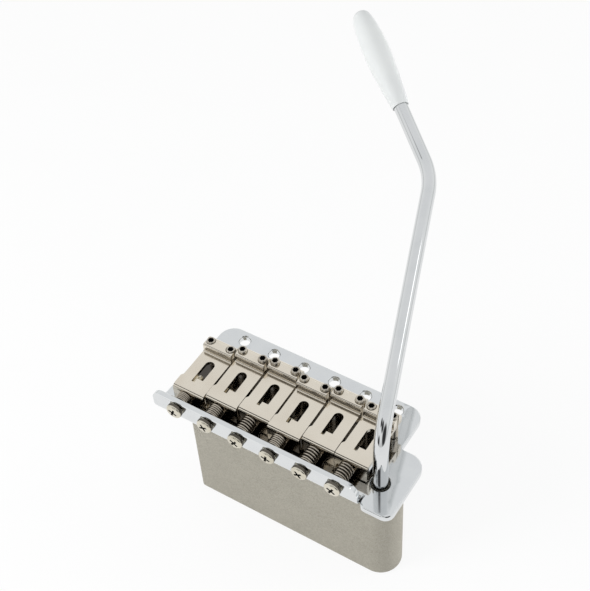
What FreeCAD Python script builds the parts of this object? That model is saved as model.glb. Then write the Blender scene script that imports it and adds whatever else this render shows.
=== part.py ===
import FreeCAD, Part
import math
import os
from types import SimpleNamespace

import Sketcher

# The origin is the middle of the pivot row on the plate's underside.
# +X runs from the bass side to the treble side, +Y towards the pivot row and +Z up.
# Driving lengths in millimetres.
SIZES = {
    "plate_thickness": 2.0,
    "plate_front": 3.75,
    "plate_left_front": 36.5,
    "plate_left_rear": 38.2,
    "plate_right": 36.0,
    "front_corner_radius": 5.0,
    "wing_right": 45.0,
    "wing_front": 11.8,
    "wing_corner_radius": 5.5,
    "wing_root_radius": 1.0,
    "wing_rear_radius": 3.0,
    "lip_back": 35.65,
    "lip_right": 34.3,
    "lip_height": 7.05,
    "lip_corner_radius": 3.0,
    "bend_radius": 1.5,
    "pivot_pitch": 11.2,
    "pivot_hole_radius": 1.75,
    "string_pitch": 11.2,
    "string_line": 22.4,
    "string_hole_radius": 1.2,
    "plate_string_pitch": 10.5,
    "plate_string_radius": 2.3,
    "ball_bore_pitch": 9.8,
    "ball_bore_radius": 2.1,
    "ball_bore_top": 9.0,
    "block_left": 27.5,
    "block_thickness": 13.6,
    "block_height": 38.0,
    "block_corner_radius": 1.5,
    "block_edge_round": 0.6,
    "block_screw_line": 27.5,
    "block_screw_pitch": 22.4,
    "block_screw_radius": 2.0,
    "block_screw_head_radius": 3.6,
    "block_screw_length": 12.0,
    "block_screw_slot": 0.8,
    "hook_line": 28.6,
    "hook_pitch": 11.2,
    "hook_radius": 1.3,
    "hook_depth": 10.0,
    "arm_line": 36.5,
    "arm_back": 25.6,
    "arm_radius": 2.3,
    "arm_hole_radius": 2.8,
    "arm_seat_depth": 16.0,
    "arm_rise": 23.4,
    "arm_reach": 87.0,
    "arm_bend_radius": 12.0,
    "arm_end_reach": 61.3,
    "arm_end_bend_radius": 20.0,
    "tip_length": 36.0,
    "tip_radius": 4.3,
    "tip_bore_depth": 14.0,
    "screw_offset": 1.13,
    "screw_height": 4.2,
    "screw_radius": 1.5,
    "screw_length": 14.0,
    "screw_head_radius": 2.65,
    "screw_head_height": 1.8,
    "screw_head_round": 0.8,
    "screw_tip_chamfer": 0.4,
    "recess_reach": 1.5,
    "recess_width": 0.7,
    "recess_depth": 1.1,
    "spring_radius": 2.5,
    "spring_wire": 0.5,
    "spring_pitch": 0.95,
    "spring_length_1": 3.15,
    "spring_length_2": 4.45,
    "spring_length_3": 5.55,
    "spring_length_4": 4.45,
    "spring_length_5": 5.85,
    "spring_length_6": 5.85,
    "saddle_sheet": 1.3,
    "saddle_top": 3.05,
    "saddle_drop": 3.6,
    "saddle_width": 10.4,
    "saddle_ear": 0.65,
    "ear_start": 5.4,
    "ear_end": 4.5,
    "saddle_bend_radius": 1.6,
    "saddle_inner_radius": 0.4,
    "barrel_start": 16.0,
    "barrel_depth": 4.8,
    "barrel_height": 3.0,
    "barrel_rear_radius": 0.9,
    "barrel_front_radius": 2.0,
    "barrel_foot_radius": 0.5,
    "slot_width": 3.2,
    "slot_rear": 5.7,
    "slot_front": 13.3,
    "slot_notch_width": 1.1,
    "slot_notch": 1.6,
    "height_screw_line": 18.4,
    "height_screw_spacing": 7.4,
    "height_screw_radius": 1.5,
    "height_screw_outer": 10.4,
    "height_screw_inner": 11.6,
    "height_screw_chamfer": 0.3,
    "socket_flats": 1.6,
    "socket_depth": 2.0,
    "lip_hole_clearance": 0.25,
    "head_gap": 0.3,
    "thread_clearance": 0.1,
    "foot_gap": 0.3,
    "arm_clearance": 0.05,
    "block_screw_clearance": 0.1,
    "spring_rear_gap": 0.3,
    "spring_front_gap": 0.1,
    "cut_overrun": 1.0,
}

# Driving angles in degrees: the arm's two straights in plan and climb, and each saddle's lean.
ANGLES = {
    "arm_reach_turn": 108.7,
    "arm_reach_climb": 15.9,
    "arm_end_turn": 142.9,
    "arm_end_climb": 23.4,
    "saddle_tilt_1": 0.3,
    "saddle_tilt_2": 1.6,
    "saddle_tilt_3": 1.2,
    "saddle_tilt_4": 2.0,
    "saddle_tilt_5": 1.5,
    "saddle_tilt_6": 0.2,
}

STRING_COUNT = 6
PIVOT_COUNT = 6
HOOK_COUNT = 5
BLOCK_SCREW_COUNT = 3

# The tip's outline, as shares of its length and of its largest radius.
TIP_LENGTH_SHARES = (0.0, 0.04, 0.22, 0.42, 0.6, 0.78, 0.92, 0.98, 1.0)
TIP_RADIUS_SHARES = (0.62, 0.68, 0.84, 0.97, 1.0, 0.92, 0.74, 0.5, 0.0)


class Size:
    """A size worked out from the sheet, with the formula that binds it."""

    def __init__(self, text, value):
        self.text = text
        self.value = value

    @staticmethod
    def of(other):
        return other if isinstance(other, Size) else Size(repr(other), other)

    def __add__(self, other):
        other = Size.of(other)
        return Size(f"({self.text} + {other.text})", self.value + other.value)

    def __sub__(self, other):
        other = Size.of(other)
        return Size(f"({self.text} - {other.text})", self.value - other.value)

    def __mul__(self, other):
        other = Size.of(other)
        return Size(f"({self.text} * {other.text})", self.value * other.value)

    def __truediv__(self, other):
        other = Size.of(other)
        return Size(f"({self.text} / {other.text})", self.value / other.value)

    def __neg__(self):
        return Size(f"(-1 * {self.text})", -self.value)

    __radd__ = __add__
    __rmul__ = __mul__


def fill_sheet(document):
    """Write the driving lengths and angles into the sheet and return them by name."""
    sheet = document.addObject("Spreadsheet::Sheet", "Sizes")
    driving = {**SIZES, **ANGLES}
    for row, (name, value) in enumerate(driving.items(), 1):
        sheet.set(f"A{row}", name)
        sheet.set(f"B{row}", str(value))
        sheet.setAlias(f"B{row}", name)
    document.recompute()
    return SimpleNamespace(**{name: Size(f"Sizes.{name}", float(sheet.get(name))) for name in driving})


doc = FreeCAD.newDocument("tremolo_bridge")
size = fill_sheet(doc)
nothing = Size("0", 0)


def row_place(index, count, pitch):
    """Return the place of one item of a row centred on the middle of the bridge."""
    return pitch * (index - (count - 1) / 2)


def new_body(label):
    body = doc.addObject("PartDesign::Body", label)
    body.Label = label
    return body


def add_sketch(body, name, role, offset=nothing):
    """Add a sketch on one of the body's own planes, moved along the plane's normal."""
    sketch = body.newObject("Sketcher::SketchObject", name)
    plane = next(item for item in body.Origin.OriginFeatures if item.Role == role)
    sketch.AttachmentSupport = [(plane, "")]
    sketch.MapMode = "FlatFace"
    sketch.setExpression("AttachmentOffset.Base.z", offset.text)
    return sketch


def pin_point(sketch, curve, point, x, y):
    """Hold a point of a curve at the bound place."""
    for kind, place in (("DistanceX", x), ("DistanceY", y)):
        index = sketch.addConstraint(Sketcher.Constraint(kind, -1, 1, curve, point, place.value))
        sketch.setExpression(f"Constraints[{index}]", place.text)


def add_polygon(sketch, corners):
    """Draw a closed outline whose corners are all bound to the sheet."""
    corners = [(Size.of(x), Size.of(y)) for x, y in corners]
    points = [FreeCAD.Vector(x.value, y.value, 0) for x, y in corners]
    lines = [
        sketch.addGeometry(Part.LineSegment(start, end), False)
        for start, end in zip(points, points[1:] + points[:1])
    ]
    for line, following in zip(lines, lines[1:] + lines[:1]):
        sketch.addConstraint(Sketcher.Constraint("Coincident", line, 2, following, 1))
    for line, (x, y) in zip(lines, corners):
        pin_point(sketch, line, 1, x, y)


def add_circle(sketch, x, y, radius):
    """Draw a circle whose centre and radius are bound to the sheet."""
    x, y = Size.of(x), Size.of(y)
    centre = FreeCAD.Vector(x.value, y.value, 0)
    curve = sketch.addGeometry(Part.Circle(centre, FreeCAD.Vector(0, 0, 1), radius.value), False)
    pin_point(sketch, curve, 3, x, y)
    index = sketch.addConstraint(Sketcher.Constraint("Radius", curve, radius.value))
    sketch.setExpression(f"Constraints[{index}]", radius.text)


def add_pad(body, sketch, name, length, reverse=False):
    pad = body.newObject("PartDesign::Pad", name)
    pad.Profile = sketch
    pad.setExpression("Length", length.text)
    pad.Reversed = reverse
    doc.recompute()
    return pad


def add_pocket(body, sketch, name, depth=None, reverse=False):
    """Cut a sketch through the whole body, or to a depth, and check that it took something away."""
    before = body.Shape.Volume
    pocket = body.newObject("PartDesign::Pocket", name)
    pocket.Profile = sketch
    pocket.Reversed = reverse
    if depth is None:
        pocket.Type = "ThroughAll"
        pocket.SideType = "Symmetric"
    else:
        pocket.setExpression("Length", depth.text)
    doc.recompute()
    if not body.Shape.Volume < before:
        raise RuntimeError(f"{body.Label}: {name} cut nothing")
    return pocket


def add_revolution(body, sketch, name):
    """Turn a sketch fully about its own horizontal axis."""
    turned = body.newObject("PartDesign::Revolution", name)
    turned.Profile = sketch
    turned.ReferenceAxis = (sketch, ["H_Axis"])
    turned.Angle = 360
    doc.recompute()
    return turned


def edges_where(body, x=None, y=None, z=None):
    """Name the edges of a body that lie wholly at the given places."""
    names = []
    for number, edge in enumerate(body.Shape.Edges, 1):
        first, last = edge.ParameterRange
        points = [edge.valueAt(first + (last - first) * share) for share in (0, 1 / 3, 2 / 3, 1)]
        wanted = [
            abs(getattr(point, axis) - place.value) < Part.Precision.confusion() * 100
            for point in points
            for axis, place in (("x", x), ("y", y), ("z", z))
            if place is not None
        ]
        if all(wanted):
            names.append(f"Edge{number}")
    return names


def dress_edges(body, kind, name, names, amount):
    """Round or chamfer named edges of a body."""
    if not names:
        raise RuntimeError(f"{body.Label}: no edges for {name}")
    base = body.Tip
    dressed = body.newObject(f"PartDesign::{kind}", name)
    dressed.Base = (base, names)
    dressed.setExpression("Radius" if kind == "Fillet" else "Size", amount.text)
    doc.recompute()
    return dressed


def build_plate():
    """The plate: bent lip, flat with the arm wing, and its holes."""
    body = new_body("bridge_plate")
    top = size.plate_thickness
    crest = top + size.lip_height
    back = -size.lip_back
    inner = back + size.plate_thickness
    foot = inner + size.bend_radius + size.plate_thickness
    front = size.plate_front

    profile = add_sketch(body, "lip_profile", "YZ_Plane", -size.plate_left_rear)
    add_polygon(profile, [
        (foot, nothing),
        (foot, top),
        (inner, top),
        (inner, crest),
        (back, crest),
        (back, nothing),
    ])
    add_pad(body, profile, "lip", size.plate_left_rear + size.lip_right)
    dress_edges(body, "Fillet", "lip_inner_bend", edges_where(body, y=inner, z=top), size.bend_radius)
    outer_radius = size.bend_radius + size.plate_thickness
    dress_edges(body, "Fillet", "lip_outer_bend", edges_where(body, y=back, z=nothing), outer_radius)
    ends = edges_where(body, x=-size.plate_left_rear, z=crest)
    ends += edges_where(body, x=size.lip_right, z=crest)
    dress_edges(body, "Fillet", "lip_corners", ends, size.lip_corner_radius)

    flat = add_sketch(body, "flat_outline", "XY_Plane")
    add_polygon(flat, [
        (-size.plate_left_rear, foot),
        (-size.plate_left_front, front),
        (size.plate_right, front),
        (size.plate_right, -size.wing_front),
        (size.wing_right, -size.wing_front),
        (size.wing_right, back),
        (size.lip_right, back),
        (size.lip_right, foot),
    ])
    add_pad(body, flat, "flat", top)
    corners = edges_where(body, x=-size.plate_left_front, y=front)
    corners += edges_where(body, x=size.plate_right, y=front)
    dress_edges(body, "Fillet", "front_corners", corners, size.front_corner_radius)
    root = edges_where(body, x=size.plate_right, y=-size.wing_front)
    dress_edges(body, "Fillet", "wing_root", root, size.wing_root_radius)
    wing = edges_where(body, x=size.wing_right, y=-size.wing_front)
    dress_edges(body, "Fillet", "wing_corner", wing, size.wing_corner_radius)
    rear = edges_where(body, x=size.wing_right, y=back)
    dress_edges(body, "Fillet", "wing_rear_corner", rear, size.wing_rear_radius)

    holes = add_sketch(body, "holes", "XY_Plane")
    for index in range(PIVOT_COUNT):
        add_circle(holes, row_place(index, PIVOT_COUNT, size.pivot_pitch), nothing, size.pivot_hole_radius)
    for index in range(STRING_COUNT):
        place = row_place(index, STRING_COUNT, size.plate_string_pitch)
        add_circle(holes, place, -size.string_line, size.plate_string_radius)
    add_circle(holes, size.arm_line, -size.arm_back, size.arm_hole_radius)
    add_pocket(body, holes, "plate_holes")

    shank_radius = size.block_screw_radius + size.block_screw_clearance
    screws = add_sketch(body, "block_screw_holes", "XY_Plane")
    for index in range(BLOCK_SCREW_COUNT):
        place = row_place(index, BLOCK_SCREW_COUNT, size.block_screw_pitch)
        add_circle(screws, place, -size.block_screw_line, shank_radius)
    add_pocket(body, screws, "block_screw_bores")
    rims = []
    for number, edge in enumerate(body.Shape.Edges, 1):
        centre = edge.CenterOfMass
        on_line = abs(centre.y + size.block_screw_line.value) < size.cut_overrun.value / 10
        if edge.Closed and on_line and centre.z > top.value / 2:
            rims.append(f"Edge{number}")
    sink = size.block_screw_head_radius + size.block_screw_clearance - shank_radius
    dress_edges(body, "Chamfer", "block_screw_sinks", rims, sink)

    lip_holes = add_sketch(body, "lip_holes", "XZ_Plane")
    for index in range(STRING_COUNT):
        place = row_place(index, STRING_COUNT, size.string_pitch) - size.screw_offset
        add_circle(lip_holes, place, top + size.screw_height, size.screw_radius + size.lip_hole_clearance)
    add_pocket(body, lip_holes, "screw_holes")
    return body


def build_block():
    """The block: rounded at the arm's end, with string, arm, screw and hook bores."""
    body = new_body("tremolo_block")
    half = size.block_thickness / 2
    outline = add_sketch(body, "block_outline", "XY_Plane")
    add_polygon(outline, [
        (-size.block_left, -size.arm_back - half),
        (size.arm_line, -size.arm_back - half),
        (size.arm_line, -size.arm_back + half),
        (-size.block_left, -size.arm_back + half),
    ])
    add_pad(body, outline, "block", size.block_height, reverse=True)
    round_end = add_sketch(body, "round_end", "XY_Plane")
    add_circle(round_end, size.arm_line, -size.arm_back, half)
    add_pad(body, round_end, "arm_end", size.block_height, reverse=True)
    corners = edges_where(body, x=-size.block_left, y=-size.arm_back - half)
    corners += edges_where(body, x=-size.block_left, y=-size.arm_back + half)
    dress_edges(body, "Fillet", "block_corners", corners, size.block_corner_radius)
    dress_edges(body, "Fillet", "block_bottom", edges_where(body, z=-size.block_height), size.block_edge_round)

    strings = add_sketch(body, "string_holes", "XY_Plane")
    balls = add_sketch(body, "ball_bores", "XY_Plane", -size.block_height)
    for index in range(STRING_COUNT):
        place = row_place(index, STRING_COUNT, size.ball_bore_pitch)
        add_circle(strings, place, -size.string_line, size.string_hole_radius)
        add_circle(balls, place, -size.string_line, size.ball_bore_radius)
    add_pocket(body, strings, "string_bores")
    add_pocket(body, balls, "ball_end_bores", size.block_height - size.ball_bore_top, reverse=True)

    arm = add_sketch(body, "arm_bore", "XY_Plane")
    add_circle(arm, size.arm_line, -size.arm_back, size.arm_radius + size.arm_clearance)
    add_pocket(body, arm, "arm_seat", size.arm_seat_depth + size.cut_overrun)
    screws = add_sketch(body, "screw_bores", "XY_Plane")
    for index in range(BLOCK_SCREW_COUNT):
        place = row_place(index, BLOCK_SCREW_COUNT, size.block_screw_pitch)
        seat_radius = size.block_screw_radius + size.block_screw_clearance
        add_circle(screws, place, -size.block_screw_line, seat_radius)
    add_pocket(body, screws, "screw_seats", size.block_screw_length + size.cut_overrun)
    hooks = add_sketch(body, "hook_holes", "XY_Plane", -size.block_height)
    for index in range(HOOK_COUNT):
        add_circle(hooks, row_place(index, HOOK_COUNT, size.hook_pitch), -size.hook_line, size.hook_radius)
    add_pocket(body, hooks, "hook_bores", size.hook_depth, reverse=True)
    return body


def build_block_screws():
    """The countersunk screws between plate and block, as one group of separate solids."""
    solids = []
    for index in range(BLOCK_SCREW_COUNT):
        place = row_place(index, BLOCK_SCREW_COUNT, size.block_screw_pitch)
        head = doc.addObject("Part::Cone", f"block_screw_head_{index + 1}")
        head_height = size.block_screw_head_radius - size.block_screw_radius
        head.setExpression("Radius1", size.block_screw_radius.text)
        head.setExpression("Radius2", size.block_screw_head_radius.text)
        head.setExpression("Height", head_height.text)
        head.setExpression("Placement.Base.z", (size.plate_thickness - head_height).text)
        shank = doc.addObject("Part::Cylinder", f"block_screw_shank_{index + 1}")
        shank_length = size.block_screw_length + size.plate_thickness - head_height
        shank.setExpression("Radius", size.block_screw_radius.text)
        shank.setExpression("Height", shank_length.text)
        shank.setExpression("Placement.Base.z", (-size.block_screw_length).text)
        whole = doc.addObject("Part::Fuse", f"block_screw_blank_{index + 1}")
        whole.Base = head
        whole.Tool = shank
        bars = []
        for turn in (0, 90):
            bar = doc.addObject("Part::Box", f"block_screw_slot_{index + 1}_{turn}")
            reach = size.block_screw_radius * 2
            bar.setExpression("Length", reach.text)
            bar.setExpression("Width", size.block_screw_slot.text)
            bar.setExpression("Height", (size.plate_thickness / 2 + size.cut_overrun).text)
            half_slot = size.block_screw_slot.value / 2
            corner = FreeCAD.Vector(-reach.value / 2, -half_slot, size.plate_thickness.value / 2)
            turned = FreeCAD.Rotation(FreeCAD.Vector(0, 0, 1), turn)
            bar.Placement = FreeCAD.Placement(turned.multVec(corner), turned)
            bars.append(bar)
        cross = doc.addObject("Part::Fuse", f"block_screw_cross_{index + 1}")
        cross.Base, cross.Tool = bars
        screw = doc.addObject("Part::Cut", f"block_screw_{index + 1}")
        screw.Base = whole
        screw.Tool = cross
        screw.Placement.Base = FreeCAD.Vector(place.value, -size.block_screw_line.value, 0)
        solids.append(screw)
    group = doc.addObject("Part::Compound", "block_screws")
    group.Links = solids
    group.Label = "block_screws"
    doc.recompute()
    return group


def tilt_place(index):
    """Return the place where a saddle's screw passes the lip, tilted as that saddle is."""
    tilt = getattr(size, f"saddle_tilt_{index + 1}").value
    base = FreeCAD.Vector(
        row_place(index, STRING_COUNT, size.string_pitch).value,
        -size.lip_back.value + size.plate_thickness.value / 2,
        size.plate_thickness.value + size.screw_height.value,
    )
    return FreeCAD.Placement(base, FreeCAD.Rotation(FreeCAD.Vector(1, 0, 0), tilt))


def saddle_place(index):
    """Return the place of a saddle's flange on the axis of its screw."""
    spring = getattr(size, f"spring_length_{index + 1}").value
    forward = FreeCAD.Vector(0, size.plate_thickness.value / 2 + spring, 0)
    return tilt_place(index).multiply(FreeCAD.Placement(forward, FreeCAD.Rotation()))


def build_saddle(index):
    """A saddle: flange, top with its slot, and the barrel that carries the string."""
    body = new_body(f"saddle_{index + 1}")
    half = size.saddle_width / 2
    under = size.saddle_top - size.saddle_sheet
    crest = size.saddle_top + size.barrel_height
    front = size.barrel_start + size.barrel_depth
    profile = add_sketch(body, "saddle_profile", "YZ_Plane", -half - size.saddle_ear)
    add_polygon(profile, [
        (nothing, -size.saddle_drop),
        (nothing, size.saddle_top),
        (size.barrel_start, size.saddle_top),
        (size.barrel_start, crest),
        (front, crest),
        (front, under),
        (size.saddle_sheet, under),
        (size.saddle_sheet, -size.saddle_drop),
    ])
    add_pad(body, profile, "saddle_sheet", size.saddle_width + size.saddle_ear)
    bends = (
        ("rear_bend", nothing, size.saddle_top, size.saddle_bend_radius),
        ("rear_inner_bend", size.saddle_sheet, under, size.saddle_inner_radius),
        ("barrel_foot", size.barrel_start, size.saddle_top, size.barrel_foot_radius),
        ("barrel_rear", size.barrel_start, crest, size.barrel_rear_radius),
        ("barrel_front", front, crest, size.barrel_front_radius),
    )
    for name, y, z, radius in bends:
        dress_edges(body, "Fillet", name, edges_where(body, y=y, z=z), radius)

    side = add_sketch(body, "side_step", "XY_Plane")
    add_polygon(side, [
        (-half - size.saddle_ear, size.ear_end),
        (-half, size.ear_start),
        (-half, front + size.cut_overrun),
        (-half - size.saddle_ear - size.cut_overrun, front + size.cut_overrun),
        (-half - size.saddle_ear - size.cut_overrun, size.ear_end),
    ])
    add_pocket(body, side, "side_cut")

    slot_half = size.slot_width / 2
    slot = add_sketch(body, "slot", "XY_Plane")
    add_polygon(slot, [
        (-slot_half, size.slot_rear - size.slot_notch),
        (-slot_half + size.slot_notch_width, size.slot_rear - size.slot_notch),
        (-slot_half + size.slot_notch_width, size.slot_rear),
        (slot_half, size.slot_rear),
        (slot_half, size.slot_front - slot_half),
        (-slot_half, size.slot_front - slot_half),
    ])
    add_pocket(body, slot, "slot_cut")
    slot_end = add_sketch(body, "slot_end", "XY_Plane")
    add_circle(slot_end, nothing, size.slot_front - slot_half, slot_half)
    add_pocket(body, slot_end, "slot_end_cut")

    threads = add_sketch(body, "height_screw_holes", "XY_Plane")
    for side_sign in (-1, 1):
        place = size.height_screw_spacing * (side_sign / 2)
        add_circle(threads, place, size.height_screw_line, size.height_screw_radius + size.thread_clearance)
    add_pocket(body, threads, "height_screw_bores")
    flange = add_sketch(body, "flange_hole", "XZ_Plane")
    add_circle(flange, -size.screw_offset, nothing, size.screw_radius + size.thread_clearance)
    add_pocket(body, flange, "flange_bore")
    body.Placement = saddle_place(index)
    return body


def build_intonation_screw(index):
    """An intonation screw along its own axis, from the recessed head to the chamfered end."""
    body = new_body(f"intonation_screw_{index + 1}")
    seat = -(size.plate_thickness / 2) - size.head_gap
    head = seat - size.screw_head_height
    end = seat + size.screw_length
    profile = add_sketch(body, "screw_profile", "YZ_Plane")
    add_polygon(profile, [
        (head, nothing),
        (head, size.screw_head_radius),
        (seat, size.screw_head_radius),
        (seat, size.screw_radius),
        (end, size.screw_radius),
        (end, nothing),
    ])
    add_revolution(body, profile, "screw")
    dress_edges(body, "Fillet", "head_round", edges_where(body, y=head), size.screw_head_round)
    dress_edges(body, "Chamfer", "end_chamfer", edges_where(body, y=end), size.screw_tip_chamfer)
    recess = add_sketch(body, "recess", "XZ_Plane", -head)
    reach = size.recess_reach
    half = size.recess_width / 2
    add_polygon(recess, [
        (half, half), (half, reach), (-half, reach), (-half, half), (-reach, half), (-reach, -half),
        (-half, -half), (-half, -reach), (half, -reach), (half, -half), (reach, -half), (reach, half),
    ])
    add_pocket(body, recess, "recess_cut", size.recess_depth)
    aside = FreeCAD.Placement(FreeCAD.Vector(-size.screw_offset.value, 0, 0), FreeCAD.Rotation())
    body.Placement = tilt_place(index).multiply(aside)
    return body


def build_height_screw(index, side):
    """A height set screw, standing just clear of the plate."""
    name = "bass" if side < 0 else "treble"
    body = new_body(f"height_screw_{index + 1}_{name}")
    outer = index in (0, STRING_COUNT - 1)
    length = size.height_screw_outer if outer else size.height_screw_inner
    section = add_sketch(body, "screw_section", "XY_Plane")
    add_circle(section, nothing, nothing, size.height_screw_radius)
    add_pad(body, section, "screw", length)
    ends = edges_where(body, z=nothing) + edges_where(body, z=length)
    dress_edges(body, "Chamfer", "end_chamfers", ends, size.height_screw_chamfer)
    socket = add_sketch(body, "socket", "XY_Plane", length)
    corner = size.socket_flats / math.sqrt(3)
    turns = [math.radians(60 * step) for step in range(6)]
    add_polygon(socket, [(corner * math.cos(turn), corner * math.sin(turn)) for turn in turns])
    add_pocket(body, socket, "socket_cut", size.socket_depth)

    tilt = math.radians(getattr(size, f"saddle_tilt_{index + 1}").value)
    spring = getattr(size, f"spring_length_{index + 1}").value
    lever = size.plate_thickness.value / 2 + spring + size.height_screw_line.value
    rise = size.foot_gap.value + size.height_screw_radius.value * math.sin(tilt)
    drop = (rise - size.screw_height.value - lever * math.sin(tilt)) / math.cos(tilt)
    place = FreeCAD.Vector(side * size.height_screw_spacing.value / 2, lever, drop)
    body.Placement = tilt_place(index).multiply(FreeCAD.Placement(place, FreeCAD.Rotation()))
    return body


def arc_edge(start, tangent, end):
    """Return the circular arc that leaves start along the tangent and reaches end."""
    chord = end - start
    along = FreeCAD.Vector(chord).normalize()
    across = tangent - along * tangent.dot(along)
    swing = math.acos(max(-1.0, min(1.0, tangent.dot(along))))
    middle = (start + end) * 0.5 + across.normalize() * (chord.Length / 2 * math.tan(swing / 2))
    return Part.Arc(start, middle, end).toShape()


def biarc_edges(start, start_tangent, end, end_tangent):
    """Return two arcs that join two points and match both tangents."""
    chord = end - start
    both = start_tangent + end_tangent
    spread = 2 * (1 - start_tangent.dot(end_tangent))
    pull = chord.dot(both)
    reach = (math.sqrt(pull * pull + spread * chord.dot(chord)) - pull) / spread
    joint = (start + start_tangent * reach + end - end_tangent * reach) * 0.5
    second = arc_edge(end, end_tangent * -1, joint)
    second.reverse()
    return [arc_edge(start, start_tangent, joint), second]


def tube_along(edges, radius):
    """Sweep a round section along a path and return the solid."""
    path = Part.Wire(Part.__sortEdges__(edges))
    first = path.OrderedEdges[0]
    start = path.OrderedVertexes[0].Point
    parameter = first.Curve.parameter(start)
    direction = first.tangentAt(parameter)
    section = Part.Wire(Part.Circle(start, direction, radius).toShape())
    return path.makePipeShell([section], True, False)


def build_spring(index):
    """A wound spring between the lip and a saddle's flange."""
    length = getattr(size, f"spring_length_{index + 1}").value
    wire = size.spring_wire.value
    radius = size.spring_radius.value - wire / 2
    begin = size.plate_thickness.value / 2 + size.spring_rear_gap.value + wire / 2
    finish = size.plate_thickness.value / 2 + length - size.spring_front_gap.value - wire / 2
    quarters = math.floor((finish - begin) / (size.spring_pitch.value / 4))
    step = (finish - begin) / quarters

    def coil_point(quarter):
        turn = math.pi / 2 * quarter
        return FreeCAD.Vector(radius * math.cos(turn), begin + step * quarter, radius * math.sin(turn))

    def coil_tangent(quarter):
        turn = math.pi / 2 * quarter
        sweep = radius * math.pi / 2
        return FreeCAD.Vector(-sweep * math.sin(turn), step, sweep * math.cos(turn)).normalize()

    edges = []
    for quarter in range(quarters):
        edges += biarc_edges(
            coil_point(quarter), coil_tangent(quarter), coil_point(quarter + 1), coil_tangent(quarter + 1)
        )
    flat_start = FreeCAD.Vector(0, 0, 1)
    turn = math.pi / 2 * quarters
    flat_end = FreeCAD.Vector(-math.sin(turn), 0, math.cos(turn))
    tail = coil_point(0) - coil_tangent(0) * wire
    head = coil_point(quarters) + coil_tangent(quarters) * wire
    edges.insert(0, Part.LineSegment(tail, coil_point(0)).toShape())
    edges.append(Part.LineSegment(coil_point(quarters), head).toShape())
    if flat_start.dot(coil_tangent(0)) <= 0 or flat_end.dot(coil_tangent(quarters)) <= 0:
        raise RuntimeError(f"intonation_spring_{index + 1}: the coil runs the wrong way")

    spring = doc.addObject("Part::Feature", f"intonation_spring_{index + 1}")
    spring.Label = f"intonation_spring_{index + 1}"
    spring.Shape = tube_along(edges, wire / 2)
    aside = FreeCAD.Placement(FreeCAD.Vector(-size.screw_offset.value, 0, 0), FreeCAD.Rotation())
    spring.Placement = tilt_place(index).multiply(aside)

    samples = [point for edge in edges for point in edge.discretize(12)[:-1]]
    runs = [0.0]
    for before, after in zip(samples, samples[1:]):
        runs.append(runs[-1] + before.distanceToPoint(after))
    gaps = [
        samples[one].distanceToPoint(samples[two]) - wire
        for one in range(len(samples))
        for two in range(one + 1, len(samples))
        if runs[two] - runs[one] > math.pi * radius
    ]
    print(f"{spring.Label}: {quarters / 4} turns, least gap {min(gaps):.3f} mm")
    return spring


def aim(turn, climb):
    """Return the direction with a plan angle and a climb."""
    turn, climb = math.radians(turn.value), math.radians(climb.value)
    return FreeCAD.Vector(math.cos(turn) * math.cos(climb), math.sin(turn) * math.cos(climb), math.sin(climb))


def arm_corners():
    """Return the arm's seat, its two corners and its far end."""
    seat = FreeCAD.Vector(size.arm_line.value, -size.arm_back.value, -size.arm_seat_depth.value)
    first = FreeCAD.Vector(size.arm_line.value, -size.arm_back.value, size.arm_rise.value)
    second = first + aim(size.arm_reach_turn, size.arm_reach_climb) * size.arm_reach.value
    end = second + aim(size.arm_end_turn, size.arm_end_climb) * size.arm_end_reach.value
    return seat, first, second, end


def build_arm_rod():
    """The bent rod, from its seat in the block to the end inside the tip."""
    seat, first, second, end = arm_corners()
    last = FreeCAD.Vector(end - second).normalize()
    tip_base = end - last * size.tip_length.value
    stop = tip_base + last * (size.tip_bore_depth.value - size.arm_clearance.value)
    edges = []
    here = seat
    bends = ((first, second, size.arm_bend_radius.value), (second, stop, size.arm_end_bend_radius.value))
    for corner, after, radius in bends:
        into = FreeCAD.Vector(corner - here).normalize()
        out = FreeCAD.Vector(after - corner).normalize()
        back_off = radius * math.tan(math.acos(into.dot(out)) / 2)
        start = corner - into * back_off
        finish = corner + out * back_off
        edges.append(Part.LineSegment(here, start).toShape())
        edges.append(arc_edge(start, into, finish))
        here = finish
    edges.append(Part.LineSegment(here, stop).toShape())
    rod = doc.addObject("Part::Feature", "arm_rod")
    rod.Label = "arm_rod"
    rod.Shape = tube_along(edges, size.arm_radius.value)
    rod.Placement = FreeCAD.Placement()
    return rod


def build_arm_tip():
    """The tip, turned from its outline, with the bore that takes the rod."""
    _, _, second, end = arm_corners()
    last = FreeCAD.Vector(end - second).normalize()
    length = size.tip_length.value
    outline = Part.BSplineCurve()
    outline.interpolate([
        FreeCAD.Vector(size.tip_radius.value * out, 0, length * along)
        for along, out in zip(TIP_LENGTH_SHARES, TIP_RADIUS_SHARES)
    ])
    bore = size.arm_radius.value + size.arm_clearance.value
    inner_rim = FreeCAD.Vector(bore, 0, 0)
    outer_rim = FreeCAD.Vector(size.tip_radius.value * TIP_RADIUS_SHARES[0], 0, 0)
    bore_corner = FreeCAD.Vector(bore, 0, size.tip_bore_depth.value)
    bore_end = FreeCAD.Vector(0, 0, size.tip_bore_depth.value)
    crown = FreeCAD.Vector(0, 0, length)
    edges = [outline.toShape()]
    corners = (crown, bore_end, bore_corner, inner_rim, outer_rim)
    edges += [Part.LineSegment(start, finish).toShape() for start, finish in zip(corners, corners[1:])]
    face = Part.Face(Part.Wire(Part.__sortEdges__(edges)))
    tip = doc.addObject("Part::Feature", "arm_tip")
    tip.Label = "arm_tip"
    tip.Shape = face.revolve(FreeCAD.Vector(0, 0, 0), FreeCAD.Vector(0, 0, 1), 360)
    tip.Placement = FreeCAD.Placement(end - last * length, FreeCAD.Rotation(FreeCAD.Vector(0, 0, 1), last))
    return tip


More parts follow.
